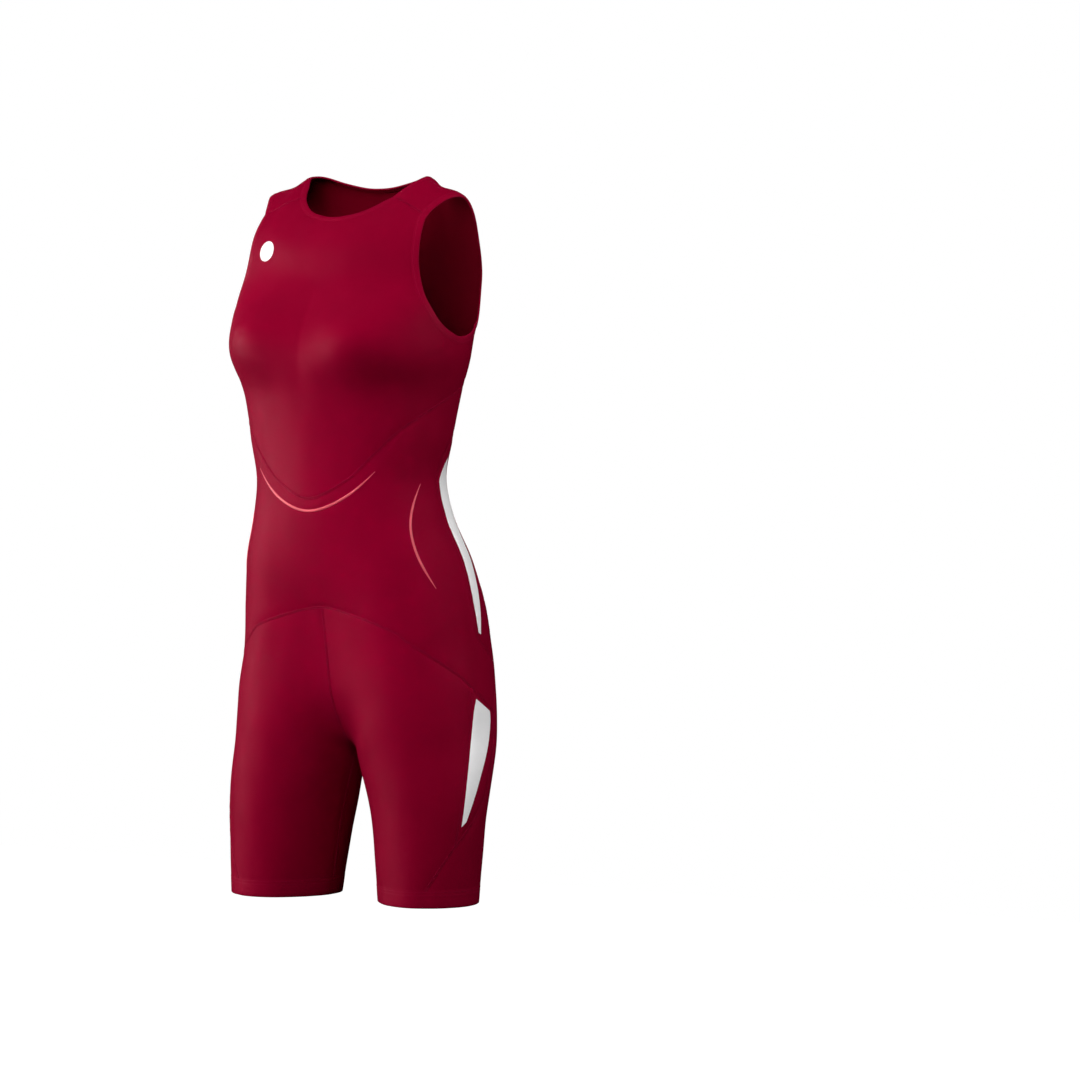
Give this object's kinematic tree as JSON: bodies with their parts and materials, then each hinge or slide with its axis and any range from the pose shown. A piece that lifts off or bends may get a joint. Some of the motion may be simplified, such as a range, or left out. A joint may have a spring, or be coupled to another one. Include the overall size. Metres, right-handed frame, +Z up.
{
  "type": "wrestling singlet",
  "caption": "Sleeveless high-necked one-piece in stretch cloth with mid-thigh legs, hollow and filled out, with shaped side panels, edge bands, turned hems and bonded trim.",
  "frame": {"origin": "midway between the tops of the two shoulders at the sides of the neck, where the wearer holds the garment up", "axes": "+X to the wearer's left, -Y to the front, +Z up, from the legs to the neck"},
  "size_m": [0.3288, 0.2472, 0.824],
  "materials": {
    "front_bodice": "matt crimson stretch knit with a slight sheen",
    "back_upper": "matt crimson stretch knit with a slight sheen",
    "front_mid": "matt crimson stretch knit with a slight sheen",
    "side_upper_l": "matt crimson stretch knit with a slight sheen",
    "side_upper_r": "matt crimson stretch knit with a slight sheen",
    "side_lower_l": "matt crimson stretch knit with a slight sheen",
    "side_lower_r": "matt crimson stretch knit with a slight sheen",
    "leg_front_l": "matt crimson stretch knit with a slight sheen",
    "leg_front_r": "matt crimson stretch knit with a slight sheen",
    "leg_back_l": "matt crimson stretch knit with a slight sheen",
    "leg_back_r": "matt crimson stretch knit with a slight sheen",
    "leg_hem_l": "matt crimson stretch knit with a slight sheen",
    "leg_hem_r": "matt crimson stretch knit with a slight sheen",
    "neck_binding": "matt crimson elastic edge band",
    "armhole_binding_l": "matt crimson elastic edge band",
    "armhole_binding_r": "matt crimson elastic edge band",
    "piping_under_bust": "satin coral bonded cord",
    "piping_hip_l": "satin coral bonded cord",
    "piping_hip_r": "satin coral bonded cord",
    "flash_upper_l": "satin white bonded film",
    "flash_upper_r": "satin white bonded film",
    "flash_lower_l": "satin white bonded film",
    "flash_lower_r": "satin white bonded film",
    "chest_dot": "satin white bonded film",
    "back_tab": "satin white bonded film"
  },
  "bodies": {
    "root": {"front_bodice": "front_bodice", "back_upper": "back_upper", "front_mid": "front_mid", "side_upper_l": "side_upper_l", "side_upper_r": "side_upper_r", "side_lower_l": "side_lower_l", "side_lower_r": "side_lower_r", "leg_front_l": "leg_front_l", "leg_front_r": "leg_front_r", "leg_back_l": "leg_back_l", "leg_back_r": "leg_back_r", "leg_hem_l": "leg_hem_l", "leg_hem_r": "leg_hem_r", "neck_binding": "neck_binding", "armhole_binding_l": "armhole_binding_l", "armhole_binding_r": "armhole_binding_r", "piping_under_bust": "piping_under_bust", "piping_hip_l": "piping_hip_l", "piping_hip_r": "piping_hip_r", "flash_upper_l": "flash_upper_l", "flash_upper_r": "flash_upper_r", "flash_lower_l": "flash_lower_l", "flash_lower_r": "flash_lower_r", "chest_dot": "chest_dot", "back_tab": "back_tab"}
  },
  "joints": []
}
